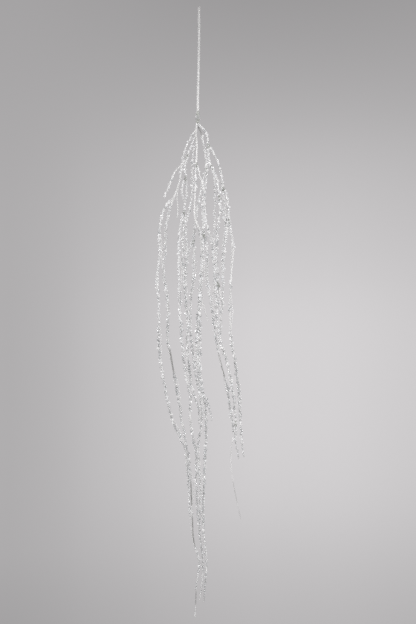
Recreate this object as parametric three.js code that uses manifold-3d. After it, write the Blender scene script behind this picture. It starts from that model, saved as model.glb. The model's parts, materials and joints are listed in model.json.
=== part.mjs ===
// Hanging icicle spray: a straight wrapped stem, a bound crown under it, and three boughs of stiff
// plastic-coated wire that fork again and again into long drooping twigs.
// Millimetres, +Z up. The origin is the centre of the stem's top end, and the spray hangs below it.
import * as THREE from "three";
import { mergeVertices } from "three/addons/utils/BufferGeometryUtils.js";
import Module from "manifold-3d";

const wasm = await Module();
wasm.setup();

// Driving dimensions.
const GAP = 0.3; // clearance kept between neighbouring pieces
const STEM_RADIUS = 2.1;
const STEM_WIRE_RADIUS = 0.9;
const STEM_ROUTE = [
  [0, 0, 0], [0, 0, -60], [-1.2, 0, -130], [-2.5, 0, -195], [-2.6, 0, -222],
];
const STEM_SIDES = 12;
const STEM_STEPS = 7;

const CROWN_X = -2.6; // the stem leans this far by the time it reaches the crown
const CROWN_TOP = -208;
const CROWN_BOTTOM = -232.6;
const CROWN_RADIUS = 3.7;
const CROWN_WALL = 1;
const CROWN_FLOOR = 9; // solid depth under the stem's lower end
const CROWN_SIDES = 16;

const TIE_WIRE_RADIUS = 0.4;
const TIE_TURNS = 3;
const TIE_PITCH = 2.6;
const TIE_BOTTOM = -226;
const TIE_STEPS_PER_TURN = 12;

const BOUGH_RADIUS = 1.9;
const LONG_TWIG_RADIUS = 1.6;
const TWIG_RADIUS = 1.5;
const BRANCHLET_RADIUS = 1.2;
const FILAMENT_RADIUS = 0.8;
const TWIG_STEP = 20; // length of one straight facet along a twig

const TAPE_LENGTH = 8;
const TAPE_SIDES = 10;
const TAPE_BORE_GAP = 0.5; // room for the bend of the wire inside the tape
const TAPE_BEVEL = 0.35; // how much thinner the tape is at its two ends

// Each twig is a wire whose route starts at the ball root where it bends, beside its parent, and
// ends at its free tip. Parents come before their children.
const TWIGS = {
  left_bough: {
    parent: null,
    radius: BOUGH_RADIUS,
    route: [
      [-4.8, -1.2, -235], [-6, -3, -252], [-4, -9, -280], [-6, -20, -326], [-8, -31, -386],
      [-8, -37, -424], [0, -40, -446], [7, -42, -478], [7, -43, -518], [2, -42, -570],
      [2, -40, -650], [2, -38, -730], [8, -38, -770], [18, -39, -790], [25, -42, -824],
    ],
  },
  centre_bough: {
    parent: null,
    radius: BOUGH_RADIUS,
    route: [
      [-2.6, 2.6, -235], [4, 8, -250], [10, 13, -280], [15, 17, -314], [14, 19, -344],
      [8, 20, -386], [9, 20, -450], [6, 18, -510], [3, 18, -558], [-3, 18, -630], [-5, 16, -686],
      [3, 10, -756], [12, 5, -794], [14, -1, -862], [9, -3, -966], [9, -4, -1056],
      [15, -3, -1098], [9, -2, -1190],
    ],
  },
  right_bough: {
    parent: null,
    radius: BOUGH_RADIUS,
    route: [
      [-0.4, -1.2, -235], [9, -2, -242], [16, -3, -257], [18, -4, -278], [19, -5, -302],
      [26, -7, -322], [36, -9, -348], [40, -10, -378], [44, -11, -404], [52, -12, -430],
    ],
  },
  left_long_twig: {
    parent: "left_bough",
    radius: LONG_TWIG_RADIUS,
    route: [
      [-11.2, -1.9, -251.7], [-14, 6, -258], [-24, 13, -274], [-33, 20, -304], [-37, 24, -334],
      [-42, 24, -356], [-59, 18, -404], [-66, 14, -442], [-67, 13, -478], [-72, 13, -526],
      [-62, 16, -606], [-64, 15, -654], [-56, 15, -700], [-40, 16, -796], [-30, 12, -854],
      [-18, 8, -932], [-10, 4, -1070], [0, 2, -1108], [-5, 0, -1156], [-8, -2, -1220],
    ],
  },
  left_outer_twig: {
    parent: "left_long_twig",
    radius: TWIG_RADIUS,
    route: [
      [-58.3, 18.8, -386.8], [-63, 8, -393], [-73, 0, -412], [-79, -8, -448], [-79, -12, -494],
      [-83, -14, -548], [-80, -14, -606], [-80, -12, -676], [-72, -12, -734], [-62, -13, -792],
      [-50, -14, -834], [-28, -15, -882], [-23, -16, -922], [-18, -16, -1022],
    ],
  },
  left_bare_twig: {
    parent: "left_long_twig",
    radius: BRANCHLET_RADIUS,
    route: [
      [-42.7, 28, -362.8], [-45, 29, -374], [-43, 32, -396], [-44, 33, -420],
    ],
  },
  left_short_twig: {
    parent: "left_bough",
    radius: TWIG_RADIUS,
    route: [
      [-9.3, -9, -262.3], [-13, -8, -274], [-22, -15, -296], [-31, -20, -314], [-46, -26, -329],
      [-60, -29, -362], [-70, -30, -384],
    ],
  },
  left_front_twig: {
    parent: "left_short_twig",
    radius: TWIG_RADIUS,
    route: [
      [-22.8, -21, -301.9], [-27, -24, -320], [-26, -20, -346], [-25, -14, -372],
      [-29, -8, -402], [-28, -7, -430], [-24, -7, -480], [-28, -9, -566], [-24, -9, -622],
      [-23, -8, -676], [-20, -7, -720], [-12, -6, -770], [-1, -6, -800], [0, -6, -834],
    ],
  },
  left_branchlet: {
    parent: "left_front_twig",
    radius: BRANCHLET_RADIUS,
    route: [
      [-29.5, -22.6, -348.2], [-33, -26, -362], [-33, -28, -376], [-29, -28, -388],
    ],
  },
  left_middle_twig: {
    parent: "left_front_twig",
    radius: TWIG_RADIUS,
    route: [
      [-32.3, -10.8, -414.5], [-35, -16, -430], [-39, -22, -458], [-40, -27, -510],
      [-39, -29, -578], [-30, -28, -706], [-21, -26, -758], [-16, -24, -784], [-18, -22, -808],
      [-13, -19, -850], [-6, -16, -894], [-5, -14, -962], [-2, -13, -1036],
    ],
  },
  left_back_twig: {
    parent: "left_bough",
    radius: TWIG_RADIUS,
    route: [
      [-6.7, -2.5, -272.8], [-11, 6, -288], [-13, 15, -318], [-14, 26, -366], [-18, 31, -400],
      [-26, 33, -424], [-32, 33, -454], [-31, 33, -546], [-27, 32, -586], [-24, 32, -628],
    ],
  },
  centre_front_twig: {
    parent: "left_bough",
    radius: TWIG_RADIUS,
    route: [
      [-2.1, -22.5, -319.5], [0, -27, -334], [6, -27, -350], [11, -27, -378], [12, -29, -412],
      [18, -31, -450], [26, -33, -476], [29, -34, -510], [32, -35, -562], [35, -35, -610],
      [41, -35, -658], [54, -34, -706], [64, -33, -746], [71, -32, -800], [75, -31, -854],
    ],
  },
  right_filament: {
    parent: "centre_front_twig",
    radius: FILAMENT_RADIUS,
    route: [
      [70.8, -34.3, -834.4], [68, -34, -858], [64, -36, -878], [63, -37, -910], [70, -38, -958],
      [83, -38, -1020],
    ],
  },
  centre_back_twig: {
    parent: "centre_bough",
    radius: TWIG_RADIUS,
    route: [
      [12.6, 22.4, -325.6], [9, 27, -342], [0, 37, -380], [-7, 44, -426], [-11, 47, -474],
      [-11, 47, -518], [-18, 44, -620], [-14, 41, -670], [-9, 38, -726], [6, 28, -808],
      [4, 24, -842], [-2, 21, -876], [3, 16, -980], [0, 15, -1038], [6, 14, -1098],
      [7, 14, -1142], [0, 14, -1190],
    ],
  },
  centre_back_branchlet: {
    parent: "centre_back_twig",
    radius: BRANCHLET_RADIUS,
    route: [
      [-14.6, 49.1, -469.9], [-18, 50, -482], [-22, 50, -496], [-23, 50, -512],
    ],
  },
  centre_branchlet: {
    parent: "centre_bough",
    radius: BRANCHLET_RADIUS,
    route: [
      [4.1, 21.3, -585.4], [7, 24, -594], [13, 27, -610], [18, 28, -628],
    ],
  },
  right_long_twig: {
    parent: "centre_bough",
    radius: TWIG_RADIUS,
    route: [
      [12, 23.6, -458.3], [15, 22, -478], [17, 20, -500], [17, 18, -540], [25, 17, -594],
      [33, 17, -654], [43, 18, -710], [57, 18, -762], [63, 18, -808], [70, 18, -850],
      [80, 19, -906],
    ],
  },
  right_high_twig: {
    parent: "right_bough",
    radius: LONG_TWIG_RADIUS,
    route: [
      [22.9, -2.1, -280.2], [26, 3, -289], [35, 10, -303], [43, 16, -324], [47, 20, -360],
      [52, 22, -396], [53, 23, -432], [49, 25, -510], [48, 25, -570], [46, 25, -616],
    ],
  },
  right_outer_twig: {
    parent: "right_high_twig",
    radius: TWIG_RADIUS,
    route: [
      [51.9, 17.9, -364.1], [56, 12, -382], [59, 8, -410], [62, 3, -444], [68, 1, -470],
      [68, 1, -498], [64, 0, -542], [62, 0, -590], [64, 0, -662], [72, 0, -706], [79, 0, -766],
      [82, 0, -818], [86, -1, -874], [90, -1, -900],
    ],
  },
  right_inner_branchlet: {
    parent: "right_outer_twig",
    radius: BRANCHLET_RADIUS,
    route: [
      [58.1, 0.7, -430.3], [56, -4, -448], [53, -8, -472], [46, -11, -500],
    ],
  },
  right_front_twig: {
    parent: "right_bough",
    radius: TWIG_RADIUS,
    route: [
      [42.4, -15.2, -383.8], [42, -17, -402], [38, -18, -438], [35, -17, -478], [36, -15, -526],
      [38, -13, -574], [44, -12, -622], [44, -12, -650],
    ],
  },
  right_front_branchlet: {
    parent: "right_front_twig",
    radius: BRANCHLET_RADIUS,
    route: [
      [40.6, -16.4, -557.8], [42, -18, -574], [46, -20, -586], [52, -21, -598],
    ],
  },
  right_back_twig: {
    parent: "right_bough",
    radius: BRANCHLET_RADIUS,
    route: [
      [27.3, -2.2, -323.8], [30, 0, -340], [32, 8, -372], [32, 16, -410], [30, 21, -456],
      [27, 23, -510],
    ],
  },
};

const MATERIALS = {
  coatedWire: new THREE.MeshStandardMaterial({ color: 0xe9eaec, roughness: 0.4 }),
  clearTwig: new THREE.MeshStandardMaterial({ color: 0xd9dcdf, roughness: 0.15 }),
  tape: new THREE.MeshStandardMaterial({ color: 0xdcdcda, roughness: 0.7 }),
  steel: new THREE.MeshStandardMaterial({ color: 0x8f9092, roughness: 0.35, metalness: 1 }),
};

function smoothCurve(points) {
  const vectors = points.map((point) => new THREE.Vector3(...point));
  return new THREE.CatmullRomCurve3(vectors, false, "centripetal");
}

function ringPoints(radius, sides) {
  const points = [];
  for (let i = 0; i < sides; i += 1) {
    const angle = (2 * Math.PI * i) / sides;
    points.push(new THREE.Vector2(radius * Math.cos(angle), radius * Math.sin(angle)));
  }
  return points;
}

// A rod, or with a bore a tube, that follows a curve.
function rodAlong(curve, radius, sides, steps, bore = 0) {
  const section = new THREE.Shape(ringPoints(radius, sides));
  if (bore > 0) section.holes.push(new THREE.Path(ringPoints(bore, sides).reverse()));
  return new THREE.ExtrudeGeometry(section, { steps, extrudePath: curve, bevelEnabled: false });
}

function toSolid(geometry) {
  const bare = geometry.clone();
  bare.deleteAttribute("normal");
  bare.deleteAttribute("uv");
  const merged = mergeVertices(bare, 1e-4);
  return new wasm.Manifold(
    new wasm.Mesh({
      numProp: 3,
      vertProperties: merged.attributes.position.array,
      triVerts: new Uint32Array(merged.index.array),
    }),
  );
}

function toGeometry(solid) {
  const mesh = solid.getMesh();
  const geometry = new THREE.BufferGeometry();
  geometry.setAttribute("position", new THREE.BufferAttribute(mesh.vertProperties, 3));
  geometry.setIndex(new THREE.BufferAttribute(mesh.triVerts, 1));
  geometry.computeVertexNormals();
  return geometry;
}

function namedMesh(name, geometry, material) {
  const mesh = new THREE.Mesh(geometry, material);
  mesh.name = name;
  return mesh;
}

function makeStem() {
  const group = new THREE.Group();
  const curve = smoothCurve(STEM_ROUTE);
  const sleeve = rodAlong(curve, STEM_RADIUS, STEM_SIDES, STEM_STEPS, STEM_WIRE_RADIUS + GAP);
  const wire = rodAlong(curve, STEM_WIRE_RADIUS, STEM_SIDES, STEM_STEPS);
  group.add(namedMesh("stem_sleeve", sleeve, MATERIALS.coatedWire));
  group.add(namedMesh("stem_wire", wire, MATERIALS.steel));
  return group;
}

// The crown collar is a cup: the stem's lower end sits in its bore, and the boughs root under it.
function makeCrownCollar() {
  const height = CROWN_TOP - CROWN_BOTTOM;
  const bore = STEM_RADIUS + GAP + 0.1;
  const profile = [
    [0, 0],
    [CROWN_RADIUS - CROWN_WALL / 2, 0],
    [CROWN_RADIUS, 2],
    [CROWN_RADIUS, height - 4],
    [bore + CROWN_WALL / 2, height],
    [bore, height],
    [bore, CROWN_FLOOR],
    [0, CROWN_FLOOR],
  ].map((pair) => new THREE.Vector2(...pair));
  const collar = new THREE.LatheGeometry(profile, CROWN_SIDES);
  collar.rotateX(Math.PI / 2);
  const mesh = namedMesh("crown_collar", toGeometry(toSolid(collar)), MATERIALS.tape);
  mesh.position.set(CROWN_X, 0, CROWN_BOTTOM);
  return mesh;
}

// Fine wire wound round the collar, as an even helix.
class TieHelix extends THREE.Curve {
  getPoint(t, target = new THREE.Vector3()) {
    const angle = 2 * Math.PI * TIE_TURNS * t;
    const radius = CROWN_RADIUS + GAP + TIE_WIRE_RADIUS;
    return target.set(radius * Math.cos(angle), radius * Math.sin(angle), TIE_PITCH * TIE_TURNS * t);
  }
}

function makeCrownTie() {
  const steps = TIE_TURNS * TIE_STEPS_PER_TURN;
  const tie = namedMesh(
    "crown_tie_wire",
    rodAlong(new TieHelix(), TIE_WIRE_RADIUS, 6, steps),
    MATERIALS.steel,
  );
  tie.position.set(CROWN_X, 0, TIE_BOTTOM);
  return tie;
}

// A twig's rod with the round ball of its root, about the root as origin.
function twigGeometry(twig) {
  const sides = twig.radius === BOUGH_RADIUS ? 8 : 6;
  const steps = Math.max(3, Math.round(twig.curve.getLength() / TWIG_STEP));
  const rod = rodAlong(twig.curve, twig.radius, sides, steps);
  rod.translate(-twig.root.x, -twig.root.y, -twig.root.z);
  const ball = new THREE.SphereGeometry(twig.radius, 8, 6);
  return toGeometry(toSolid(rod).add(toSolid(ball)));
}

function nearestOnCurve(curve, point) {
  const samples = Math.ceil(curve.getLength());
  let best = 0;
  let least = Infinity;
  for (let i = 0; i <= samples; i += 1) {
    const distance = curve.getPointAt(i / samples).distanceTo(point);
    if (distance < least) {
      least = distance;
      best = i / samples;
    }
  }
  return { at: best, distance: least };
}

// The tape barrel on the parent that holds a child's root: the ball rests GAP away from its side.
function makeForkTape(name, parent, child) {
  const { at, distance } = nearestOnCurve(parent.curve, child.root);
  const inner = (parent.radius + TAPE_BORE_GAP) / Math.cos(Math.PI / TAPE_SIDES);
  const outer = distance - child.radius - GAP;
  const half = TAPE_LENGTH / 2;
  const profile = [
    [inner, -half],
    [outer - TAPE_BEVEL, -half],
    [outer, -half / 2],
    [outer, half / 2],
    [outer - TAPE_BEVEL, half],
    [inner, half],
    [inner, -half],
  ].map((pair) => new THREE.Vector2(...pair));
  const barrel = new THREE.LatheGeometry(profile, TAPE_SIDES);
  const tape = namedMesh(name, toGeometry(toSolid(barrel)), MATERIALS.tape);
  const along = parent.curve.getTangentAt(at);
  tape.position.copy(parent.curve.getPointAt(at)).sub(parent.root);
  tape.quaternion.setFromUnitVectors(new THREE.Vector3(0, 1, 0), along);
  return tape;
}

// Each twig is a group at its own root, nested in its parent's group, so turning a group bends the
// twig with everything that forks from it.
function makeTwigs(spray) {
  const twigs = {};
  for (const [name, { parent, radius, route }] of Object.entries(TWIGS)) {
    const twig = { radius, curve: smoothCurve(route), root: new THREE.Vector3(...route[0]) };
    twig.group = new THREE.Group();
    twig.group.add(namedMesh(name, twigGeometry(twig), MATERIALS.clearTwig));
    if (parent === null) {
      twig.group.position.copy(twig.root);
      spray.add(twig.group);
    } else {
      const holder = twigs[parent];
      twig.group.position.copy(twig.root).sub(holder.root);
      holder.group.add(twig.group);
      holder.group.add(makeForkTape(name + "_tape", holder, twig));
    }
    twigs[name] = twig;
  }
}

const spray = new THREE.Group();
spray.add(makeStem());
spray.add(makeCrownCollar());
spray.add(makeCrownTie());
makeTwigs(spray);

export default spray;
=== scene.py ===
"""A hanging icicle spray: a wrapped stem, a bound crown and a curtain of wired twigs covered in
ice chips, with a fine beaded wire beside each long twig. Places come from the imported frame, and
all lengths are in metres."""

import json
import math

import bmesh
import bpy
import numpy as np
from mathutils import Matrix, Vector, noise

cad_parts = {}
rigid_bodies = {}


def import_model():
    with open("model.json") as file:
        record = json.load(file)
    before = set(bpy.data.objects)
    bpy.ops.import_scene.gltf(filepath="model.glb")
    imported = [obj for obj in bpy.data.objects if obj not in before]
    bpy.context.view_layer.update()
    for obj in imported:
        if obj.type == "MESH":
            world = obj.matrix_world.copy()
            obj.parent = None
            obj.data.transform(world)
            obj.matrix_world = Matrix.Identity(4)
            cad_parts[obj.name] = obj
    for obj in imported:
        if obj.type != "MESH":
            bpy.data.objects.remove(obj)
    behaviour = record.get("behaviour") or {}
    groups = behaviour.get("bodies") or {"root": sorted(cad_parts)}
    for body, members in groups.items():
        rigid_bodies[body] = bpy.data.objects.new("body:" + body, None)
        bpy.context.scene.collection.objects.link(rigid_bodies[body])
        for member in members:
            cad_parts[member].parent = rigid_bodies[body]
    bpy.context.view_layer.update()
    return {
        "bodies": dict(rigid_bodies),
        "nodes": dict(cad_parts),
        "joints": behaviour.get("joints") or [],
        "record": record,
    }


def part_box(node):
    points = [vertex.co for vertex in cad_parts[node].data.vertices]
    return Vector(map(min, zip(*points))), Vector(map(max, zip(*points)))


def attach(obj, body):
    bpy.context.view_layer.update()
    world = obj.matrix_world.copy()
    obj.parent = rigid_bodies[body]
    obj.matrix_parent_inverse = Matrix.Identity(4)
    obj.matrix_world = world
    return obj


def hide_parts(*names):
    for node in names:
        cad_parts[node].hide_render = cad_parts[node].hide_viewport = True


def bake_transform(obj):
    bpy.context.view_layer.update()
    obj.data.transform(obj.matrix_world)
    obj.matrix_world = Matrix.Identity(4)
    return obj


MM = 0.001
SEED = 11

# Camera: level, straight in front of the spray
CAMERA_X = 0.018
CAMERA_HEIGHT = -0.610
CAMERA_DISTANCE = 3.5
VIEW_HEIGHT = 1.248
SENSOR_MM = 36.0
FILTER_WIDTH = 1.7

# Studio bowl: floor, rounded foot, wall and domed top in one sweep
FLOOR_HEIGHT = -4.6
FLOOR_RINGS = (0.0, 3.0, 6.0)
FOOT_ROUNDING = 1.9
WALL_RADIUS = 16.0
WALL_TOP = 6.0
DOME_TOP = 13.0
BEND_STEPS = 12
BOWL_SIDES = 96

# How far the picture reaches on the wall behind the spray, either side of its middle
PICTURE_SHAPE = 416 / 624
WALL_REACH = VIEW_HEIGHT / 2 * (WALL_RADIUS + CAMERA_DISTANCE) / CAMERA_DISTANCE

# The painted light and shade of the wall's glow: its grey up the left side and up the right side,
# and how the two blend
LEFT_GREYS = ((0.0, 163), (0.12, 173), (0.4, 176), (0.7, 174), (1.0, 165))
RIGHT_GREYS = ((0.0, 184), (0.18, 204), (0.38, 212), (0.55, 207), (0.78, 184), (1.0, 157))
RIGHT_SHARE = ((0.03, 0.0), (0.19, 0.29), (0.36, 0.65), (0.62, 1.0), (0.84, 0.97), (1.0, 0.82))

# Lights: name, place, target, size and power
SPRAY_MIDDLE = (0.0, 0.0, -0.6)
LIGHTS = (
    ("key", (-1.6, -2.8, 1.2), (0.0, 0.0, -0.4), 2.6, 45.0),
    ("fill", (2.4, -2.6, 0.3), SPRAY_MIDDLE, 2.4, 28.0),
    ("front", (0.2, -3.7, 0.0), (0.0, 0.0, -0.5), 2.4, 8.0),
    ("rim_left", (-2.4, 2.4, 0.7), SPRAY_MIDDLE, 1.8, 62.0),
    ("rim_right", (2.8, 1.4, 0.4), SPRAY_MIDDLE, 1.6, 46.0),
    ("spark_high", (0.9, -3.0, 1.6), SPRAY_MIDDLE, 0.16, 12.0),
    ("spark_low", (-1.4, -3.2, -1.7), SPRAY_MIDDLE, 0.16, 6.0),
)
AIR_GREY = 0.4

# Twig paths. Points nearer than the ring reach belong to one cross-section of a CAD rod. The kinks
# come from three layers of noise, one for each direction, and each twig's are a shift apart
RING_REACH = 4.0 * MM
PATH_STEP = 2.0 * MM
SPAN_SAMPLES = 16
KINK = 0.45 * MM
KINK_LENGTH = 26.0 * MM
KINK_LAYERS = (0.5, 31.7, 63.1)
KINK_SHIFT = 7.3
BOUGH_LEAD_IN = 14.0 * MM
LEAD_IN = ((-8.0 * MM, 0.15), (-4.0 * MM, 0.62))

# Where the joints bend the twigs, above and below each root
BEND_ABOVE = 6.0 * MM
BEND_BELOW = 30.0 * MM
BOUGH_BEND_BELOW = 12.0 * MM
FORK_CLEARANCE = 7.0 * MM

# Tape round the forks, the stem and the crown. A winding is its pitch, its step and its wrinkles
WRAP_ABOVE = 8.5 * MM
WRAP_BELOW = 2.6 * MM
WRAP_THICKNESS = 0.3 * MM
WRAP_ROWS, WRAP_SIDES = 30, 24
FORK_WINDING = (2.4 * MM, 0.3 * MM, 0.08 * MM)
STEM_WINDING = (7.5 * MM, 0.16 * MM, 0.07 * MM)
CROWN_WINDING = (3.4 * MM, 0.42 * MM, 0.12 * MM)

# The stem's cut end: the rounding of its rim, and the bore for the wire
STEM_RIM = 0.25 * MM
STEM_RIM_SHARE = 0.93
STEM_BORE_SHARE = 0.55
STEM_BORE_DEPTH = 4.0 * MM
STEM_TAPE_START = 0.6 * MM
STEM_TAPE_STEP = 0.9 * MM
STEM_TAPE_SINK = 0.1 * MM
STEM_SIDES = 36

# The crown's tape: its girth as a share of the CAD collar's, its outline from the top down as
# shares of its length and girth, and the wire tied round it
COLLAR_GIRTH = 0.86
COLLAR_OUTLINE = (
    (0.0, 0.03, 0.12, 0.3, 0.6, 0.92, 0.98, 1.0),
    (0.55, 0.68, 0.86, 1.0, 1.0, 1.06, 1.0, 0.8),
)
COLLAR_ROWS, COLLAR_SIDES = 64, 40
TIE_RADIUS = 0.4 * MM
TIE_REACH = 1.1 * TIE_RADIUS
TIE_TURNS = 3
TIE_POINTS = 8
TIE_STEP = 0.5 * MM
TIE_SIDES = 8
TIE_TAIL = (
    (0.98, 2.0 * MM, 0.3 * MM),
    (0.75, 3.4 * MM, 1.8 * MM),
    (0.6, 3.6 * MM, 4.2 * MM),
)

# Twig section, as shares of the CAD rod's radius
ICED_CORE = ((-0.9, -0.5), (0.5, 0.64))
BARE_CORE = 0.7
FINE_CORE = 0.65
TIP_LENGTH = 70.0 * MM
TIP_PART = 0.22
TIP_SHARE = 0.6
TIP_CURVE = 0.7
FULLNESS = ((-1.2, -0.95, -0.75, -0.45, -0.33, -0.25), (0.88, 1.08, 1.24, 1.24, 1.1, 0.93))
STRAND_SIDES = 10
STRAND_LUMP = 0.09
STRAND_LUMP_LENGTH = 4.0 * MM
STRAND_LUMP_SHIFT = 5.1
END_DOME = ((0.0, 0.25), (0.12, 0.6), (0.4, 0.88))

# How bright the tape is painted at the stem's top, as a share of its brightness at the crown:
# painted shade, darker towards the top
PAINTED_TOP_SHADE = 0.68
PAINTED_SHADE_HEIGHTS = (-0.2, 0.0)

# Stretches with no chips: the twig, and the heights where each starts and ends
BARE_STRETCHES = (
    ("left_bough", -0.236, -0.316),
    ("left_bough", -0.376, -0.444),
    ("left_short_twig", -0.314, -0.338),
    ("left_long_twig", -0.346, -0.394),
    ("left_middle_twig", -0.810, -0.834),
    ("right_outer_twig", -0.480, -0.544),
    ("right_outer_twig", -0.566, -0.592),
    ("right_outer_twig", -0.610, -0.650),
)
# Stretches that also have no chips, whose wire is painted dark grey: painted shade where the wire
# lies in the shade of the bundle
PAINTED_SHADE_STRETCHES = (
    ("centre_bough", -0.236, -0.258),
    ("left_long_twig", -0.684, -0.734),
    ("left_long_twig", -0.948, -1.000),
    ("left_long_twig", -1.018, -1.078),
    ("left_long_twig", -1.166, -1.196),
    ("right_long_twig", -0.692, -0.742),
)
BARE_TWIGS = ("right_filament", "left_bare_twig", "centre_branchlet", "right_front_branchlet")
BARE_EDGE = 8.0 * MM

# How white the wire is under its chips, by height, and where it turns patchy
CORE_WHITENESS = ((-0.46, -0.32, -0.26, -0.24), (0.0, 1.0, 1.0, 0.2))
PATCHY_HEIGHTS = (-0.45, -0.85)

# Fine beaded wires laid loosely beside the long twigs. Each starts on its twig's wire, swings out
# by the gap and back several times, and goes once round the twig in each pitch
SIDE_WIRE_RADIUS = 0.55 * MM
SIDE_WIRE_START = 0.6
SIDE_WIRE_GAP = 5.0 * MM
SIDE_WIRE_SWINGS = 3
SIDE_WIRE_PITCH = 190.0 * MM
SIDE_WIRE_PHASE = 0.37
SIDE_WIRE_HEIGHTS = (-0.40, -1.10)
SIDE_WIRE_SHORTEST = 300.0 * MM
SIDE_BEAD = (2.2 * MM, 2.0 * MM, 1.8 * MM)
SIDE_BEAD_SPACING = 4.8 * MM
SIDE_BEAD_LIFT = 0.6
SIDE_WIRE_SIDES = 6

# Ice on a twig of CAD radius 1.5 mm: length, width, thickness, and the distance between two
TYPICAL_RADIUS = 1.5 * MM
ICE_START = 1.5 * MM
ICE_END = 0.5 * MM
CLEAR, FROSTED, SILVER = range(3)
LUMP_SHAPES, LUMP_CORNERS = 24, 12
GRAIN_SHAPES, GRAIN_CORNERS = 10, 8
CORNER_REACH = (0.4, 0.52)
CLEAR_SHARE = ((-1.2, -0.9, -0.6, -0.35), (0.85, 0.8, 0.4, 0.1))
LUMP = (5.0 * MM, 5.6 * MM, 5.4 * MM)
LUMP_SPACING = 5.8 * MM
CHIP = (2.8 * MM, 2.4 * MM, 2.0 * MM)
CHIP_SPACING = 1.7 * MM
CHIP_SHARE = ((-0.65, -0.42), (0.7, 0.15))
GRAIN = (1.5 * MM, 1.3 * MM, 1.1 * MM)
GRAIN_SPACING = 2.4 * MM
FLECK = (0.8 * MM, 0.75 * MM, 0.14 * MM)
FLECK_SPACING = 2.3 * MM
SPACING_JITTER = 0.12
EVEN_SIZES = 0.11
MIXED_SIZES = 0.24
SIDE_VARIETY = 0.5
MOST_VARIETY = 1.5
FLECK_LIFT = 0.5 * MM
CROWD_REACH = 7.0 * MM
FORK_CHIPS, FORK_GRAINS, FORK_FLECKS = 12, 22, 10
CROWDED_ROOTS = ("centre_bough", "right_bough")
CROWN_CHIPS, CROWN_GRAINS = 26, 70
CROWN_ICE_REACH = 0.82
CROWN_ICE_START, CROWN_ICE_END = 2.0 * MM, 1.0 * MM
CROWN_VARIETY = 0.25


# ---------------------------------------------------------------- lines through space


def unit(vectors):
    return vectors / np.linalg.norm(vectors, axis=-1, keepdims=True)


def smooth_line(knots):
    """A centripetal Catmull-Rom line through the knots."""
    knots = [np.array(k, float) for k in knots]
    ends = [2 * knots[0] - knots[1], *knots, 2 * knots[-1] - knots[-2]]
    spans = []
    for p0, p1, p2, p3 in zip(ends, ends[1:], ends[2:], ends[3:]):
        t1 = np.linalg.norm(p1 - p0) ** 0.5
        t2 = t1 + np.linalg.norm(p2 - p1) ** 0.5
        t3 = t2 + np.linalg.norm(p3 - p2) ** 0.5
        t = np.linspace(t1, t2, SPAN_SAMPLES, endpoint=False)[:, None]
        a1 = (t1 - t) / t1 * p0 + t / t1 * p1
        a2 = (t2 - t) / (t2 - t1) * p1 + (t - t1) / (t2 - t1) * p2
        a3 = (t3 - t) / (t3 - t2) * p2 + (t - t2) / (t3 - t2) * p3
        b1 = (t2 - t) / t2 * a1 + t / t2 * a2
        b2 = (t3 - t) / (t3 - t1) * a2 + (t - t1) / (t3 - t1) * a3
        spans.append((t2 - t) / (t2 - t1) * b1 + (t - t1) / (t2 - t1) * b2)
    return np.vstack([*spans, knots[-1][None]])


def even_steps(points, step):
    """The same line, with points an equal distance apart."""
    arc = np.concatenate([[0], np.cumsum(np.linalg.norm(np.diff(points, axis=0), axis=1))])
    count = max(4, round(arc[-1] / step) + 1)
    wanted = np.linspace(0, arc[-1], count)
    return np.column_stack([np.interp(wanted, arc, points[:, k]) for k in range(3)])


class Path:
    """A line with its running length and, at each point, a frame that doesn't twist along it."""

    def __init__(self, points):
        self.points = points
        steps = np.linalg.norm(np.diff(points, axis=0), axis=1)
        self.arc = np.concatenate([[0], np.cumsum(steps)])
        self.length = self.arc[-1]
        self.tangent = unit(np.gradient(points, axis=0))
        across = np.cross(self.tangent[0], (0, 1, 0))
        sides = []
        for tangent in self.tangent:
            across = across - tangent * (across @ tangent)
            across = across / np.linalg.norm(across)
            sides.append(across)
        self.side = np.array(sides)
        self.up = np.cross(self.tangent, self.side)

    def at(self, values, arc):
        """Any of the path's arrays, read at one running length or at several."""
        return np.column_stack([np.interp(arc, self.arc, values[:, k]) for k in range(3)])

    def place(self, arc):
        """The point at one running length."""
        return self.at(self.points, arc)[0]

    def nearest(self, point):
        """The running length at which the path comes nearest to a point."""
        return self.arc[np.argmin(np.linalg.norm(self.points - point, axis=1))]


def kinked(points, start, seed):
    """The line with small irregular bends, as hand-bent wire has, from a running length on."""
    arc = np.concatenate([[0], np.cumsum(np.linalg.norm(np.diff(points, axis=0), axis=1))])
    moved = points.copy()
    for i, s in enumerate(arc):
        fade = min(1.0, max(0.0, (s - start) / KINK_LENGTH))
        along = s / KINK_LENGTH
        bend = [noise.noise(Vector((along, KINK_SHIFT * seed, layer))) for layer in KINK_LAYERS]
        moved[i] += KINK * fade * np.array(bend)
    return moved


# ---------------------------------------------------------------- reading the frame


def rings_of(node):
    """The centres and radii of the cross-sections of a CAD rod, in no order."""
    corners = np.unique(np.round([v.co[:] for v in node.data.vertices], 6), axis=0)
    rings = []
    while len(corners):
        group = corners[:1]
        corners = corners[1:]
        found = group
        while len(found) and len(corners):
            gaps = np.linalg.norm(corners[:, None] - found[None], axis=2).min(axis=1)
            found = corners[gaps < RING_REACH]
            corners = corners[gaps >= RING_REACH]
            group = np.vstack([group, found])
        centre = group.mean(axis=0)
        rings.append((centre, np.linalg.norm(group - centre, axis=1).max()))
    return rings


def in_order(rings, start):
    """The ring centres from the one nearest to start to the far end, and the usual radius."""
    left = list(rings)
    here = np.array(start)
    chain = []
    while left:
        nearest = min(range(len(left)), key=lambda i: np.linalg.norm(left[i][0] - here))
        chain.append(left.pop(nearest))
        here = chain[-1][0]
    return [centre for centre, _ in chain], float(np.median([radius for _, radius in chain]))


def upright(node):
    """A CAD node's middle seen from above, its half width, its foot and its top."""
    low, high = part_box(node)
    middle = (low[0] + high[0]) / 2, (low[1] + high[1]) / 2
    return *middle, (high[0] - low[0]) / 2, low[2], high[2]


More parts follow.
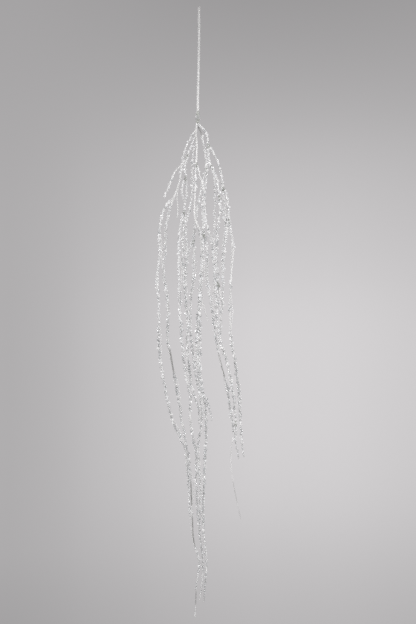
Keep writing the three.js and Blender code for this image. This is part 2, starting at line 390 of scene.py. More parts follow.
def lead_from_crown(hinge):
    """The point inside the crown from which a bough comes."""
    x, y, *_ = upright("crown_collar")
    axis = np.array([x, y, hinge[2]])
    return [(axis + hinge) / 2 + np.array([0, 0, BOUGH_LEAD_IN])]


class Twig:
    """One twig: its path from inside its parent's tape to its tip, and where it bends."""

    def __init__(self, frame, joint, twigs):
        self.name = joint["child"]
        self.parent = joint["parent"]
        self.seed = len(twigs)
        self.children = []
        hinge = np.array(joint["pos_m"])
        knots, self.radius = in_order(rings_of(frame["nodes"][self.name]), hinge)
        holder = twigs.get(self.parent)
        self.hold = holder.path.nearest(hinge) if holder else None
        lead = self.lead_beside(holder, hinge) if holder else lead_from_crown(hinge)
        line = even_steps(smooth_line([*lead, hinge, *knots[1:]]), PATH_STEP)
        start = Path(line).nearest(hinge)
        self.path = Path(kinked(line, start, self.seed))
        self.root = self.path.nearest(hinge)
        self.bend_below = BEND_BELOW if holder else BOUGH_BEND_BELOW

    def lead_beside(self, holder, hinge):
        """The points above the root, where the twig lies against the one that holds it."""
        beside = unit(hinge - holder.path.place(self.hold))
        reach = holder.radius + self.radius
        return [
            holder.path.place(self.hold + arc) + beside * reach * share for arc, share in LEAD_IN
        ]

    def take(self, child):
        """Notes a twig that forks off here: the bend ends above the first of them."""
        self.children.append(child)
        self.bend_below = min(self.bend_below, child.hold - self.root - FORK_CLEARANCE)

    def bend(self, piece):
        """Bakes the piece's placing into its mesh. Where a bend would start above the root and end
        below it is found, but the piece doesn't follow it.
        """
        start = self.path.place(self.root - BEND_ABOVE)
        end = self.path.place(self.root + self.bend_below)
        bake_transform(piece)

    def within(self, stretches, arc):
        """1 inside this twig's own stretches and 0 outside them, at each running length."""
        share = np.zeros_like(arc)
        height = self.height(arc)
        for name, top, bottom in stretches:
            if name == self.name:
                inside = np.minimum(top - height, height - bottom) / BARE_EDGE
                share = np.maximum(share, np.clip(inside + 0.5, 0, 1))
        return share

    def bareness(self, arc):
        """1 where the twig has no chips and 0 where it has, at each running length."""
        if self.name in BARE_TWIGS:
            return np.ones_like(arc)
        return self.within(BARE_STRETCHES + PAINTED_SHADE_STRETCHES, arc)

    def is_bare(self, arc):
        return self.bareness(np.array([arc]))[0] > 0.5

    def height(self, arc):
        return self.path.at(self.path.points, arc)[:, 2]

    def fullness(self, arc):
        """How stout the twig is for its height on the spray, going down to TIP_SHARE at its tip."""
        tip_length = min(TIP_LENGTH, TIP_PART * self.path.length)
        left = np.clip((self.path.length - arc) / tip_length, 0, 1)
        tip = TIP_SHARE + (1 - TIP_SHARE) * left**TIP_CURVE
        return tip * np.interp(self.height(arc), *FULLNESS)

    def clear_or_frosted(self, arc, rng):
        """The kind of each chip: more are frosted high on the spray and more are clear low down."""
        share = np.interp(self.height(arc), *CLEAR_SHARE)
        return np.where(rng.random(len(arc)) < share, CLEAR, FROSTED)

    def side_path(self):
        """The line of a fine wire that swings out from the twig and back, or None."""
        if self.path.length < SIDE_WIRE_SHORTEST:
            return None
        top, bottom = SIDE_WIRE_HEIGHTS
        last = self.path.length - TIP_LENGTH
        arcs = np.arange(self.root + self.bend_below, last, PATH_STEP)
        heights = self.height(arcs)
        arcs = arcs[(heights < top) & (heights > bottom)]
        swing = np.sin(SIDE_WIRE_SWINGS * math.pi * np.linspace(0, 1, len(arcs))) ** 2
        reach = SIDE_WIRE_START * self.core_radius(arcs) + SIDE_WIRE_GAP * swing
        turn = 2 * math.pi * (arcs / SIDE_WIRE_PITCH + SIDE_WIRE_PHASE * self.seed)
        out = np.cos(turn)[:, None] * self.path.at(self.path.side, arcs)
        out += np.sin(turn)[:, None] * self.path.at(self.path.up, arcs)
        return Path(self.path.at(self.path.points, arcs) + out * reach[:, None])

    def core_radius(self, arc):
        iced = np.interp(self.height(arc), *ICED_CORE)
        bare = FINE_CORE if self.name in BARE_TWIGS else BARE_CORE
        return self.radius * self.fullness(arc) * (iced + (bare - iced) * self.bareness(arc))

    def rod_towards(self, child, arc, centre, out):
        """The middle and the radius of this twig or of its child, whichever reaches further out."""
        close = np.linalg.norm(child.path.points - centre, axis=1).argmin()
        own = np.zeros(3), self.core_radius(np.array([arc]))[0]
        other = child.path.points[close] - centre, child.core_radius(child.path.arc[[close]])[0]
        return max((own, other), key=lambda rod: rod[0] @ out + rod[1])

    def surface(self, arcs, outs):
        """How far the coated wire, or the tape over it, reaches in the directions outs."""
        reach = self.core_radius(arcs)
        centres = self.path.at(self.path.points, arcs)
        for child in self.children:
            held = (arcs > child.hold - WRAP_ABOVE) & (arcs < child.hold + WRAP_BELOW)
            for i in np.flatnonzero(held):
                rod, radius = self.rod_towards(child, arcs[i], centres[i], outs[i])
                reach[i] = rod @ outs[i] + radius + WRAP_THICKNESS
        return reach


def read_twigs(frame):
    twigs = {}
    for joint in frame["joints"]:
        twigs[joint["child"]] = Twig(frame, joint, twigs)
    for twig in twigs.values():
        if twig.hold is not None:
            twigs[twig.parent].take(twig)
    return twigs


# ---------------------------------------------------------------- meshes


def make_object(name, vertices, faces, materials, kinds=None, smooth=True):
    mesh = bpy.data.meshes.new(name)
    mesh.from_pydata(np.asarray(vertices, float).tolist(), [], faces)
    for material in materials:
        mesh.materials.append(material)
    if kinds is not None:
        mesh.polygons.foreach_set("material_index", kinds)
    mesh.polygons.foreach_set("use_smooth", [smooth] * len(mesh.polygons))
    mesh.update()
    made = bpy.data.objects.new(name, mesh)
    bpy.context.scene.collection.objects.link(made)
    return made


def mark_points(piece, name, values):
    """Stores one number per corner of the mesh, for its material to read."""
    attribute = piece.data.attributes.new(name, "FLOAT", "POINT")
    attribute.data.foreach_set("value", np.asarray(values, np.float32))


def grid_faces(rows, sides):
    """Quads between neighbouring rings of a closed tube, and one face over each end."""
    faces = []
    for i in range(rows - 1):
        for j in range(sides):
            k = (j + 1) % sides
            faces.append((i * sides + j, i * sides + k, (i + 1) * sides + k, (i + 1) * sides + j))
    faces.append(tuple(reversed(range(sides))))
    faces.append(tuple((rows - 1) * sides + j for j in range(sides)))
    return faces


def around(path, arcs, sides):
    """Goes round the path at each running length: the row, the angle, the middle and the way out."""
    centres = path.at(path.points, arcs)
    side = unit(path.at(path.side, arcs))
    up = unit(path.at(path.up, arcs))
    for i in range(len(arcs)):
        for j in range(sides):
            angle = 2 * math.pi * j / sides
            yield i, angle, centres[i], math.cos(angle) * side[i] + math.sin(angle) * up[i]


def swept(name, path, arcs, radii, sides, relief, materials):
    """A round body along a path: a ring of its radius at each running length, plus relief."""
    vertices = [
        centre + out * (radii[i] + relief(arcs[i], angle))
        for i, angle, centre, out in around(path, arcs, sides)
    ]
    return make_object(name, vertices, grid_faces(len(arcs), sides), materials)


def rounded_ends(arcs, radii):
    """The same rows with a small dome at each end."""
    arcs, radii = list(arcs), list(radii)
    first, r = arcs[0], radii[0]
    arcs[0:1] = [first + r * along for along, _ in END_DOME] + [first + r]
    radii[0:1] = [r * share for _, share in END_DOME] + [r]
    last, r = arcs[-1], radii[-1]
    arcs[-1:] = [last - r] + [last - r * along for along, _ in reversed(END_DOME)]
    radii[-1:] = [r] + [r * share for _, share in reversed(END_DOME)]
    return np.array(arcs), np.array(radii)


def winding(pitch, height, wrinkle, seed):
    """Relief of tape wound round a body: a step each turn, and wrinkles."""

    def relief(arc, angle):
        turn = (arc / pitch + angle / (2 * math.pi)) % 1.0
        step = height * (1 - turn) ** 2
        crease = noise.noise(Vector((arc / (0.6 * pitch), 1.5 * math.cos(angle), seed + angle)))
        return step + wrinkle * crease

    return relief


def no_relief(arc, angle):
    return 0.0


# ---------------------------------------------------------------- ice chips


def lump_shapes(rng, count, corners):
    """Irregular convex lumps one unit across, each as its corners and its triangles."""
    shapes = []
    for _ in range(count):
        cloud = bmesh.new()
        ways = unit(rng.normal(size=(corners, 3)))
        for corner in ways * rng.uniform(*CORNER_REACH, (corners, 1)):
            cloud.verts.new(corner)
        hull = bmesh.ops.convex_hull(cloud, input=cloud.verts)
        inner = [v for v in hull["geom_interior"] if isinstance(v, bmesh.types.BMVert)]
        bmesh.ops.delete(cloud, geom=inner, context="VERTS")
        bmesh.ops.recalc_face_normals(cloud, faces=cloud.faces)
        cloud.verts.index_update()
        points = np.array([v.co[:] for v in cloud.verts])
        triangles = np.array([[v.index for v in f.verts] for f in cloud.faces])
        shapes.append((points, triangles))
        cloud.free()
    return shapes


def fleck_shape():
    """A thin six-sided flake, as corners and triangles."""
    rim = [(math.cos(k * math.pi / 3) / 2, math.sin(k * math.pi / 3) / 2, 0) for k in range(6)]
    points = np.array([*rim, (0, 0, 0.5), (0, 0, -0.5)])
    top = [(k, (k + 1) % 6, 6) for k in range(6)]
    bottom = [((k + 1) % 6, k, 7) for k in range(6)]
    return points, np.array(top + bottom)


class Pile:
    """Many small closed bodies gathered into one mesh. Each has a kind and a tint of its own."""

    def __init__(self):
        self.vertices = []
        self.faces = []
        self.kinds = []
        self.tints = []
        self.count = 0

    def add(self, shapes, kind, centres, frames, sizes, rng):
        """Puts one of the shapes at each centre, turned to its frame and stretched to its size."""
        choice = rng.integers(len(shapes), size=len(centres))
        tints = rng.random(len(centres))
        for k, (points, triangles) in enumerate(shapes):
            chosen = choice == k
            stretched = points[None] * sizes[chosen][:, None, :]
            placed = centres[chosen][:, None, :] + stretched @ frames[chosen]
            number = len(placed)
            first = self.count + len(points) * np.arange(number)
            self.vertices.append(placed.reshape(-1, 3))
            self.faces.append((triangles[None] + first[:, None, None]).reshape(-1, 3))
            self.kinds.append(np.full(number * len(triangles), kind))
            self.tints.append(np.repeat(tints[chosen], len(points)))
            self.count += number * len(points)

    def make(self, name, materials):
        faces = np.vstack(self.faces).tolist()
        kinds = np.concatenate(self.kinds).tolist()
        made = make_object(name, np.vstack(self.vertices), faces, materials, kinds, smooth=False)
        mark_points(made, "tint", np.concatenate(self.tints))
        return made


def scatter(pile, shapes, kind, path, surface, arcs, lifts, sizes, spread, rng):
    """Adds one body to the pile at each running length, on a random side of the path."""
    number = len(arcs)
    angle = rng.uniform(0, 2 * math.pi, number)[:, None]
    tangent = unit(path.at(path.tangent, arcs))
    out = np.cos(angle) * path.at(path.side, arcs) + np.sin(angle) * path.at(path.up, arcs)
    centres = path.at(path.points, arcs) + out * (surface(arcs, out) + lifts)[:, None]
    along = unit(tangent + spread * rng.normal(size=(number, 3)))
    radial = unit(out - along * np.sum(out * along, axis=1)[:, None])
    frames = np.stack([along, np.cross(radial, along), radial], axis=1)
    pile.add(shapes, kind, centres, frames, sizes, rng)


def no_surface(arcs, outs):
    return np.zeros(len(arcs))


def varied(rng, size, scale, spread):
    """One size for each body: the usual one, scaled, and varied on each of its three sides."""
    whole = np.clip(rng.normal(size=(len(scale), 1)), -MOST_VARIETY, MOST_VARIETY)
    sides = np.clip(rng.normal(size=(len(scale), 3)), -MOST_VARIETY, MOST_VARIETY)
    change = np.exp(spread * (whole + SIDE_VARIETY * sides))
    return np.array(size)[None] * scale[:, None] * change


def even_arcs(twig, spacing, rng):
    """Running lengths a little unevenly spaced along the iced part of a twig."""
    first, last = twig.root + ICE_START, twig.path.length - ICE_END
    arcs = np.arange(first, last, spacing)
    moves = spacing * rng.uniform(-SPACING_JITTER, SPACING_JITTER, len(arcs))
    arcs = np.clip(arcs + moves, first, last)
    return arcs[rng.random(len(arcs)) > twig.bareness(arcs)]


def crowded_arcs(twig, number, rng):
    """Running lengths crowded round each of the twig's forks, and round some boughs' roots."""
    middles = [child.hold - WRAP_ABOVE / 3 for child in twig.children]
    if twig.name in CROWDED_ROOTS:
        middles += [twig.root + CROWD_REACH, twig.root + 3 * CROWD_REACH]
    arcs = np.repeat(middles, number) + CROWD_REACH * rng.normal(size=number * len(middles))
    arcs = arcs[rng.random(len(arcs)) > twig.bareness(arcs)]
    return np.clip(arcs, twig.root + ICE_START, twig.path.length - ICE_END)


class Dressing:
    """The chips, grains and flecks stuck on one twig, gathered into one piece."""

    def __init__(self, twig, shapes):
        self.twig = twig
        self.rng = np.random.default_rng(SEED + twig.seed)
        self.pile = Pile()
        self.bulk = (twig.radius / TYPICAL_RADIUS) ** 0.5
        self.lumps, self.grains, self.flecks = shapes

    def stick(self, bodies, kinds, size, arcs, lift, spread):
        """Sticks one body on the twig at each running length. The lift of its middle over the
        twig is a share of its own thickness, and spread is how far it may lie askew."""
        variety = EVEN_SIZES if size is LUMP else MIXED_SIZES
        sizes = varied(self.rng, size, self.bulk * self.twig.fullness(arcs), variety)
        for kind in np.unique(kinds):
            own = kinds == kind
            lifts = lift * sizes[own, 2]
            if kind == SILVER:
                lifts += self.rng.uniform(0.0, FLECK_LIFT, len(lifts))
            place = self.twig.path, self.twig.surface, arcs[own], lifts, sizes[own]
            scatter(self.pile, bodies, kind, *place, spread, self.rng)

    def stick_grains(self, arcs, lift):
        kinds = np.full(len(arcs), FROSTED)
        self.stick(self.grains, kinds, GRAIN, arcs, lift, spread=0.6)

    def stick_flecks(self, arcs):
        kinds = np.full(len(arcs), SILVER)
        self.stick(self.flecks, kinds, FLECK, arcs, lift=1.0, spread=0.9)

    def cover(self):
        """Lumps in single file along the iced part, with chips, grains and flecks between."""
        twig, rng = self.twig, self.rng
        arcs = even_arcs(twig, LUMP_SPACING, rng)
        kinds = twig.clear_or_frosted(arcs, rng)
        self.stick(self.lumps, kinds, LUMP, arcs, lift=-0.36, spread=0.3)
        arcs = even_arcs(twig, CHIP_SPACING, rng)
        arcs = arcs[rng.random(len(arcs)) < np.interp(twig.height(arcs), *CHIP_SHARE)]
        kinds = twig.clear_or_frosted(arcs, rng)
        self.stick(self.lumps, kinds, CHIP, arcs, lift=0.1, spread=0.4)
        self.stick_grains(even_arcs(twig, GRAIN_SPACING, rng), lift=0.15)
        self.stick_flecks(even_arcs(twig, FLECK_SPACING, rng))

    def crowd_forks(self):
        """More chips, grains and flecks round each fork."""
        arcs = crowded_arcs(self.twig, FORK_CHIPS, self.rng)
        kinds = self.rng.choice([CLEAR, FROSTED], len(arcs))
        self.stick(self.lumps, kinds, CHIP, arcs, lift=0.2, spread=0.4)
        self.stick_grains(crowded_arcs(self.twig, FORK_GRAINS, self.rng), lift=0.2)
        self.stick_flecks(crowded_arcs(self.twig, FORK_FLECKS, self.rng))

    def bead_side_wire(self, path):
        """Small beads along the fine wire beside the twig."""
        arcs = np.arange(SIDE_BEAD_SPACING, path.length - SIDE_BEAD_SPACING, SIDE_BEAD_SPACING)
        sizes = varied(self.rng, SIDE_BEAD, np.ones(len(arcs)), MIXED_SIZES)
        lifts = np.full(len(arcs), SIDE_BEAD_LIFT * SIDE_WIRE_RADIUS)
        beads = self.pile, self.grains, FROSTED, path, no_surface, arcs, lifts, sizes
        scatter(*beads, spread=0.4, rng=self.rng)


# ---------------------------------------------------------------- pieces


def make_strand(twig, material):
    """The coated wire of a twig, a little lumpy and thinner at its tip."""
    arcs = np.arange(0, twig.path.length, PATH_STEP)
    arcs = np.append(arcs[:-1], twig.path.length)
    arcs, radii = rounded_ends(arcs, twig.core_radius(arcs))

    def relief(arc, angle):
        shift = STRAND_LUMP_SHIFT * twig.seed
        place = arc / STRAND_LUMP_LENGTH, math.cos(angle), math.sin(angle) + shift
        return STRAND_LUMP * twig.radius * noise.noise(Vector(place))

    name = twig.name + "_strand"
    strand = swept(name, twig.path, arcs, radii, STRAND_SIDES, relief, [material])
    white = np.maximum(twig.bareness(arcs), np.interp(twig.height(arcs), *CORE_WHITENESS))
    mark_points(strand, "white", np.repeat(white, STRAND_SIDES))
    # painted shade: marks the stretches whose wire is painted dark
    dark = twig.within(PAINTED_SHADE_STRETCHES, arcs)
    mark_points(strand, "dark", np.repeat(dark, STRAND_SIDES))
    twig.bend(strand)
    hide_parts(twig.name)


def make_side_wire(twig, path, material):
    """The fine wire beside a twig."""
    arcs, radii = rounded_ends(path.arc, np.full(len(path.arc), SIDE_WIRE_RADIUS))
    name = twig.name + "_side_wire"
    wire = swept(name, path, arcs, radii, SIDE_WIRE_SIDES, no_relief, [material])
    twig.bend(wire)


def make_fork_wrap(twig, holder, material):
    """Tape wound round the parent and the root of the twig, where the twig is bound on."""
    relief = winding(*FORK_WINDING, seed=twig.seed)
    arcs = np.linspace(twig.hold - WRAP_ABOVE, twig.hold + WRAP_BELOW, WRAP_ROWS)
    vertices = []
    for i, angle, centre, out in around(holder.path, arcs, WRAP_SIDES):
        edge = min(1.0, i / 2, (WRAP_ROWS - 1 - i) / 2)
        rod, radius = holder.rod_towards(twig, arcs[i], centre, out)
        thick = (WRAP_THICKNESS + relief(arcs[i], angle)) * edge
        vertices.append(centre + rod + out * (radius + thick))
    faces = grid_faces(WRAP_ROWS, WRAP_SIDES)
    wrap = make_object(twig.name + "_wrap", vertices, faces, [material])
    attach(wrap, twig.parent)
    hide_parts(twig.name + "_tape")


def make_stem(frame, material):
    """The stem's sleeve: wound paper tape round the wire, cut square at the top."""
    top = (0.0, 0.0, 0.0)
    knots, radius = in_order(rings_of(frame["nodes"]["stem_sleeve"]), top)
    path = Path(even_steps(smooth_line(knots), PATH_STEP))
    bore = STEM_BORE_SHARE * radius
    cut_arcs = (STEM_BORE_DEPTH, 0.0, 0.0, STEM_RIM)
    cut_radii = (bore, bore, STEM_RIM_SHARE * radius, radius)
    taped = np.arange(STEM_TAPE_START, path.length, STEM_TAPE_STEP)
    arcs = np.concatenate([cut_arcs, taped])
    radii = np.concatenate([cut_radii, np.full(len(taped), radius)])
    tape = winding(*STEM_WINDING, seed=3.0)

    def relief(arc, angle):
        return 0.0 if arc in cut_arcs else tape(arc, angle) - STEM_TAPE_SINK

    sleeve = swept("stem_wrap", path, arcs, radii, STEM_SIDES, relief, [material])
    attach(sleeve, "root")
    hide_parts("stem_sleeve")


def crown_line():
    """The line down the middle of the CAD collar, and the collar's radius."""
    x, y, radius, foot, top = upright("crown_collar")
    return Path(even_steps(np.array([(x, y, top), (x, y, foot)]), PATH_STEP)), radius


def make_collar(material):
    """The crown: tape wound over the stem's end and the roots of the boughs."""
    path, radius = crown_line()
    arcs = np.linspace(0, path.length, COLLAR_ROWS)
    radii = COLLAR_GIRTH * radius * np.interp(arcs / path.length, *COLLAR_OUTLINE)
    relief = winding(*CROWN_WINDING, seed=8.0)
    collar = swept("crown_wrap", path, arcs, radii, COLLAR_SIDES, relief, [material])
    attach(collar, "root")
    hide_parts("crown_collar")


def make_tie(material):
    """The binding wire round the collar, with its twisted end."""
    x, y, _, foot, top = upright("crown_tie_wire")
    _, collar_radius = crown_line()
    reach = COLLAR_GIRTH * collar_radius + TIE_REACH
    coil = []
    for k in range(TIE_TURNS * TIE_POINTS + 1):
        angle = 2 * math.pi * k / TIE_POINTS
        climbed = (top - foot - 2 * TIE_RADIUS) * k / (TIE_TURNS * TIE_POINTS)
        place = x + reach * math.cos(angle), y + reach * math.sin(angle)
        coil.append((*place, foot + TIE_RADIUS + climbed))
    tail = [(x + reach * share, y + aside, top + rise) for share, aside, rise in TIE_TAIL]
    path = Path(even_steps(smooth_line(coil + tail), TIE_STEP))
    arcs, radii = rounded_ends(path.arc, np.full(len(path.arc), TIE_RADIUS))
    tie = swept("crown_tie", path, arcs, radii, TIE_SIDES, no_relief, [material])
    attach(tie, "root")
    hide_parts("crown_tie_wire")


def dress_crown(shapes, materials):
    """Chips and grains stuck over the crown."""
    path, radius = crown_line()
    rng = np.random.default_rng(SEED)
    pile = Pile()
    lumps, grains, _ = shapes
    plans = (
        (lumps, CLEAR, CHIP, CROWN_CHIPS, 0.0),
        (lumps, FROSTED, CHIP, CROWN_CHIPS, 0.0),
        (grains, FROSTED, GRAIN, CROWN_GRAINS, 0.1),
    )
    for bodies, kind, size, number, lift in plans:
        arcs = rng.uniform(CROWN_ICE_START, path.length - CROWN_ICE_END, number)
        sizes = varied(rng, size, np.ones(number), CROWN_VARIETY)
        lifts = CROWN_ICE_REACH * radius + lift * sizes[:, 2]
        chips = pile, bodies, kind, path, no_surface, arcs, lifts, sizes
        scatter(*chips, spread=0.4, rng=rng)
    crown = pile.make("crown_ice", materials)
    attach(crown, "root")


# ---------------------------------------------------------------- materials


class Shading:
    """A Principled material with its nodes."""

    def __init__(self, name, **constants):
        self.material = bpy.data.materials.new(name)
        self.material.use_nodes = True
        self.tree = self.material.node_tree
        self.shader = self.tree.nodes["Principled BSDF"]
        for socket, value in constants.items():
            self.shader.inputs[socket.replace("_", " ")].default_value = value

    def link(self, output, node, socket):
        self.tree.links.new(output, node.inputs[socket])

    def noise(self, scale, detail=3.0, stretch=(1, 1, 1)):
        place = self.tree.nodes.new("ShaderNodeTexCoord")
        squeeze = self.tree.nodes.new("ShaderNodeMapping")
        squeeze.inputs["Scale"].default_value = stretch
        texture = self.tree.nodes.new("ShaderNodeTexNoise")
        texture.inputs["Scale"].default_value = scale
        texture.inputs["Detail"].default_value = detail
        self.link(place.outputs["Object"], squeeze, "Vector")
        self.link(squeeze.outputs["Vector"], texture, "Vector")
        return texture.outputs["Fac"]

    def mark(self, name):
        """The number that mark_points stored on the mesh under this name."""
        attribute = self.tree.nodes.new("ShaderNodeAttribute")
        attribute.attribute_name = name
        return attribute.outputs["Fac"]

    def ramp(self, source, stops):
        node = self.tree.nodes.new("ShaderNodeValToRGB")
        elements = node.color_ramp.elements
        while len(elements) < len(stops):
            elements.new(0.5)
        for element, (position, colour) in zip(elements, stops):
            element.position = position
            element.color = (*colour, 1.0)
        self.link(source, node, "Fac")
        return node.outputs["Color"]

    def curve(self, source, stops):
        """A ramp that passes smoothly through its stops."""
        output = self.ramp(source, stops)
        output.node.color_ramp.interpolation = "CARDINAL"
        return output

    def along(self, axis, start, end):
        """How far a point is along an axis: 0 at start and 1 at end."""
        place = self.tree.nodes.new("ShaderNodeTexCoord")
        axes = self.tree.nodes.new("ShaderNodeSeparateXYZ")
        node = self.tree.nodes.new("ShaderNodeMapRange")
        node.inputs["From Min"].default_value = start
        node.inputs["From Max"].default_value = end
        self.link(place.outputs["Object"], axes, "Vector")
        self.link(axes.outputs[axis], node, "Value")
        return node.outputs["Result"]

    def mix(self, share, first, second):
        """The first colour where the share is 0 and the second where it is 1."""
        node = self.tree.nodes.new("ShaderNodeMix")
        node.data_type = "RGBA"
        self.link(share, node, 0)
        self.link(first, node, 6)
        self.link(second, node, 7)
        return node.outputs[2]

    def between(self, source, low, high):
        node = self.tree.nodes.new("ShaderNodeMapRange")
        node.inputs["To Min"].default_value = low
        node.inputs["To Max"].default_value = high
        self.link(source, node, "Value")
        return node.outputs["Result"]

    def bump(self, height, strength, distance):
        node = self.tree.nodes.new("ShaderNodeBump")
        node.inputs["Strength"].default_value = strength
        node.inputs["Distance"].default_value = distance
        self.link(height, node, "Height")
        self.link(node.outputs["Normal"], self.shader, "Normal")

    def colour(self, output):
        self.link(output, self.shader, "Base Color")

    def roughness(self, output):
        self.link(output, self.shader, "Roughness")


def clear_ice():
    """Clear acrylic granules."""
    ice = Shading("clear_ice", IOR=1.49, Transmission_Weight=0.55)
    tint = ice.mark("tint")
    ice.colour(ice.ramp(tint, [(0.0, (0.84, 0.86, 0.87)), (1.0, (0.96, 0.96, 0.96))]))
    ice.roughness(ice.between(tint, 0.05, 0.22))
    ice.bump(ice.noise(900.0), 0.25, 0.1 * MM)
    return ice.material


def frosted_ice():
    """White, snowy granules with a glossy skin."""
    ice = Shading("frosted_ice", IOR=1.45, Coat_Weight=0.5, Coat_Roughness=0.12)
    tint = ice.mark("tint")
    ice.colour(ice.ramp(tint, [(0.0, (0.82, 0.83, 0.84)), (1.0, (0.95, 0.95, 0.94))]))
    ice.roughness(ice.between(tint, 0.22, 0.5))
    ice.bump(ice.noise(1400.0), 0.4, 0.12 * MM)
    return ice.material


def glitter():
    """Silvered flecks."""
    flecks = Shading("glitter", Metallic=1.0)
    tint = flecks.mark("tint")
    flecks.colour(flecks.ramp(tint, [(0.0, (0.72, 0.73, 0.75)), (1.0, (0.97, 0.97, 0.96))]))
    flecks.roughness(flecks.between(tint, 0.12, 0.32))
    return flecks.material


def coated_wire():
    """Plastic over the twigs' wires: white where bare, greyer under the ice, patchy low down, and
    painted dark grey as painted shade on the shaded stretches.
    """
    plastic = Shading("coated_wire", IOR=1.46, Coat_Weight=0.35, Coat_Roughness=0.2)
    blotch = plastic.noise(160.0)
    white = plastic.ramp(blotch, [(0.3, (0.78, 0.78, 0.77)), (0.7, (0.92, 0.92, 0.91))])
    dull = plastic.ramp(blotch, [(0.3, (0.64, 0.64, 0.64)), (0.7, (0.8, 0.8, 0.79))])
    milky = plastic.mix(plastic.mark("white"), dull, white)
    stretch = plastic.noise(30.0, 2.0, (1.0, 1.0, 0.6))
    low = plastic.ramp(stretch, [(0.5, (0.88, 0.88, 0.87)), (0.6, (0.48, 0.48, 0.47))])
    usual = plastic.mix(plastic.along("Z", *PATCHY_HEIGHTS), milky, low)
    # painted shade: the wire is painted dark grey on the shaded stretches
    shaded = plastic.ramp(blotch, [(0.3, (0.26, 0.26, 0.25)), (0.7, (0.42, 0.42, 0.41))])
    plastic.colour(plastic.mix(plastic.mark("dark"), usual, shaded))
    plastic.roughness(plastic.between(blotch, 0.3, 0.55))
    plastic.bump(plastic.noise(1300.0), 0.35, 0.12 * MM)
    return plastic.material


def paper_tape(name, dark, light):
    """Crimped paper tape, with fibres running round. Shade is painted into it, darker towards the
    top of the stem.
    """
    paper = Shading(name, IOR=1.4)
    fibre = paper.noise(700.0, 4.0, (1.0, 1.0, 0.25))
    usual = paper.ramp(fibre, [(0.3, dark), (0.7, light)])
    # painted shade: a darker copy of the tape's colours, used towards the top of the stem
    high = [tuple(PAINTED_TOP_SHADE * part for part in colour) for colour in (dark, light)]
    shaded = paper.ramp(fibre, [(0.3, high[0]), (0.7, high[1])])
    paper.colour(paper.mix(paper.along("Z", *PAINTED_SHADE_HEIGHTS), usual, shaded))
    paper.roughness(paper.between(fibre, 0.62, 0.85))
    paper.bump(paper.noise(1800.0, 4.0), 0.5, 0.1 * MM)
    return paper.material


def drawn_steel():
    """Bright drawn wire with fine lines along it."""
    steel = Shading("drawn_steel", Metallic=1.0)
    lines = steel.noise(900.0, 2.0, (1.0, 1.0, 0.1))
    steel.colour(steel.ramp(lines, [(0.3, (0.42, 0.42, 0.43)), (0.7, (0.66, 0.66, 0.66))]))
    steel.roughness(steel.between(lines, 0.22, 0.42))
    return steel.material


# ---------------------------------------------------------------- studio


def grey(level):
    """The linear colour of a neutral, slightly warm grey, from its level on screen."""
    linear = ((level / 255 + 0.055) / 1.055) ** 2.4
    return (linear, 0.978 * linear, 0.989 * linear)


def backdrop_material():
    """Soft glow standing in for a lit paper sweep: painted light, which also lights the spray, made
    darker on the left, at the top and at the foot as painted shade.
    """
    shade = Shading("backdrop")
    tree = shade.tree
    tree.nodes.remove(shade.shader)
    height = shade.along("Z", CAMERA_HEIGHT - WALL_REACH, CAMERA_HEIGHT + WALL_REACH)
    width = PICTURE_SHAPE * WALL_REACH
    across = shade.along("X", CAMERA_X - width, CAMERA_X + width)
    glow = tree.nodes.new("ShaderNodeEmission")
    # painted light and shade: the glow's grey is graded across and up the wall
    mixed = shade.mix(
        shade.curve(across, [(part, (share, share, share)) for part, share in RIGHT_SHARE]),
        shade.curve(height, [(part, grey(level)) for part, level in LEFT_GREYS]),
        shade.curve(height, [(part, grey(level)) for part, level in RIGHT_GREYS]),
    )
    shade.link(mixed, glow, "Color")
    shade.link(glow.outputs["Emission"], tree.nodes["Material Output"], "Surface")
    return shade.material


def make_studio():
    """A closed bowl round the spray: a plain pale floor that sweeps up into wall and dome."""
    outline = [(out, FLOOR_HEIGHT) for out in FLOOR_RINGS]
    for k in range(BEND_STEPS + 1):
        turn = math.pi / 2 * k / BEND_STEPS
        out = WALL_RADIUS - FOOT_ROUNDING * (1 - math.sin(turn))
        outline.append((out, FLOOR_HEIGHT + FOOT_ROUNDING * (1 - math.cos(turn))))
    outline.append((WALL_RADIUS, WALL_TOP))
    for k in range(1, BEND_STEPS + 1):
        turn = math.pi / 2 * k / BEND_STEPS
        out = WALL_RADIUS * math.cos(turn)
        outline.append((out, WALL_TOP + (DOME_TOP - WALL_TOP) * math.sin(turn)))
    vertices, faces = [], []
    for out, height in outline:
        for j in range(BOWL_SIDES):
            angle = 2 * math.pi * j / BOWL_SIDES
            vertices.append((out * math.cos(angle), out * math.sin(angle), height))
    for i in range(len(outline) - 1):
        row, above = i * BOWL_SIDES, (i + 1) * BOWL_SIDES
        for j in range(BOWL_SIDES):
            k = (j + 1) % BOWL_SIDES
            faces.append((row + j, above + j, above + k, row + k))
    bowl = make_object("studio_bowl", vertices, faces, [backdrop_material()])


def area_light(name, place, target, size, power):
    data = bpy.data.lights.new(name, "AREA")
    data.shape = "DISK"
    data.size = size
    data.energy = power
    lamp = bpy.data.objects.new(name, data)
    lamp.location = place
    lamp.rotation_mode = "QUATERNION"
    lamp.rotation_quaternion = (Vector(target) - Vector(place)).to_track_quat("-Z", "Y")
    lamp.visible_camera = False
    bpy.context.scene.collection.objects.link(lamp)


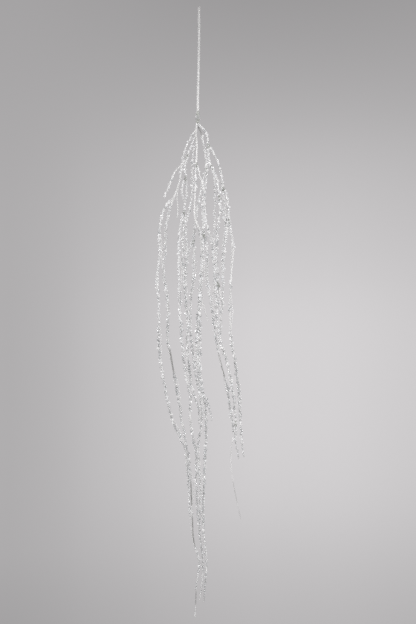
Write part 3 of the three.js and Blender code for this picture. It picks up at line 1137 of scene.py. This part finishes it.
def make_camera():
    data = bpy.data.cameras.new("camera")
    data.sensor_width = SENSOR_MM
    data.lens = SENSOR_MM * CAMERA_DISTANCE / VIEW_HEIGHT
    camera = bpy.data.objects.new("camera", data)
    camera.location = (CAMERA_X, -CAMERA_DISTANCE, CAMERA_HEIGHT)
    camera.rotation_euler = (math.pi / 2, 0.0, 0.0)
    bpy.context.scene.collection.objects.link(camera)
    bpy.context.scene.camera = camera


def set_film_and_air():
    scene = bpy.context.scene
    scene.view_settings.view_transform = "Standard"
    scene.cycles.use_denoising = False
    scene.cycles.filter_width = FILTER_WIDTH
    scene.world = bpy.data.worlds.new("studio_air")
    scene.world.use_nodes = True
    air = scene.world.node_tree.nodes["Background"]
    air.inputs["Color"].default_value = (AIR_GREY, AIR_GREY, AIR_GREY, 1)


# ---------------------------------------------------------------- the spray

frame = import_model()

make_camera()
set_film_and_air()
make_studio()
for light in LIGHTS:
    area_light(*light)

wire_coat = coated_wire()
ice_materials = [clear_ice(), frosted_ice(), glitter()]
stem_paper = paper_tape("stem_paper", (0.7, 0.7, 0.69), (0.92, 0.92, 0.91))
white_paper = paper_tape("white_paper", (0.7, 0.7, 0.69), (0.88, 0.88, 0.87))
fork_paper = paper_tape("fork_paper", (0.3, 0.31, 0.28), (0.54, 0.55, 0.52))
steel = drawn_steel()
shape_rng = np.random.default_rng(SEED)
shapes = (
    lump_shapes(shape_rng, LUMP_SHAPES, LUMP_CORNERS),
    lump_shapes(shape_rng, GRAIN_SHAPES, GRAIN_CORNERS),
    [fleck_shape()],
)

twigs = read_twigs(frame)
for twig in twigs.values():
    make_strand(twig, wire_coat)
    if twig.name not in BARE_TWIGS:
        dressing = Dressing(twig, shapes)
        dressing.cover()
        dressing.crowd_forks()
        side_path = twig.side_path()
        if side_path:
            dressing.bead_side_wire(side_path)
            make_side_wire(twig, side_path, white_paper)
        twig.bend(dressing.pile.make(twig.name + "_ice", ice_materials))
    if twig.hold is not None:
        holder = twigs[twig.parent]
        make_fork_wrap(twig, holder, white_paper if holder.is_bare(twig.hold) else fork_paper)

make_stem(frame, stem_paper)
make_collar(fork_paper)
make_tie(steel)
dress_crown(shapes, ice_materials)
stem_wire = frame["nodes"]["stem_wire"].data
stem_wire.materials.clear()
stem_wire.materials.append(steel)
